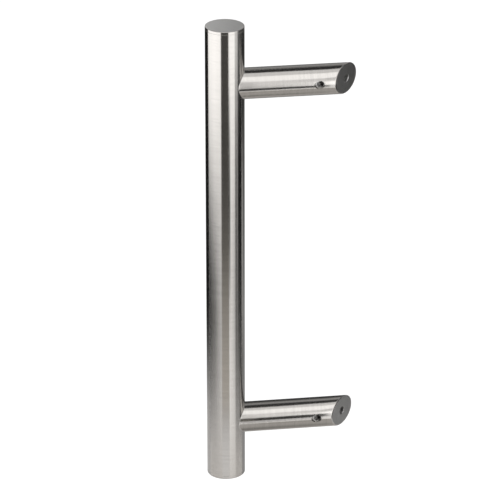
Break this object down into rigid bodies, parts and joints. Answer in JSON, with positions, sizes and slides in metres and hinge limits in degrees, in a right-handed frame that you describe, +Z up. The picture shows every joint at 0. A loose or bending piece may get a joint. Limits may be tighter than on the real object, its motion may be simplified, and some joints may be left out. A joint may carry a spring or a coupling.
{
  "type": "door pull handle",
  "caption": "Straight round tubular pull handle in satin steel, offset from its fixings by slanting posts mitred flat to the door, with set screws in the feet.",
  "frame": {"origin": "on the door's face, midway between the two fixing holes", "axes": "+Y into the door, square to its face; +Z up along the grip; the grip is offset towards +X"},
  "size_m": [0.0957, 0.0915, 0.4],
  "materials": {
    "satin_tube": "satin, ground with fine lines round the tube",
    "foot_plug": "ground flush with the mitred foot",
    "set_screw": "plain machined"
  },
  "bodies": {
    "root": {"grip_tube": "satin_tube", "top_cap": "satin_tube", "bottom_cap": "satin_tube", "upper_post": "satin_tube", "lower_post": "satin_tube", "upper_plug": "foot_plug", "lower_plug": "foot_plug", "upper_grub_screw": "set_screw", "lower_grub_screw": "set_screw"}
  },
  "joints": []
}
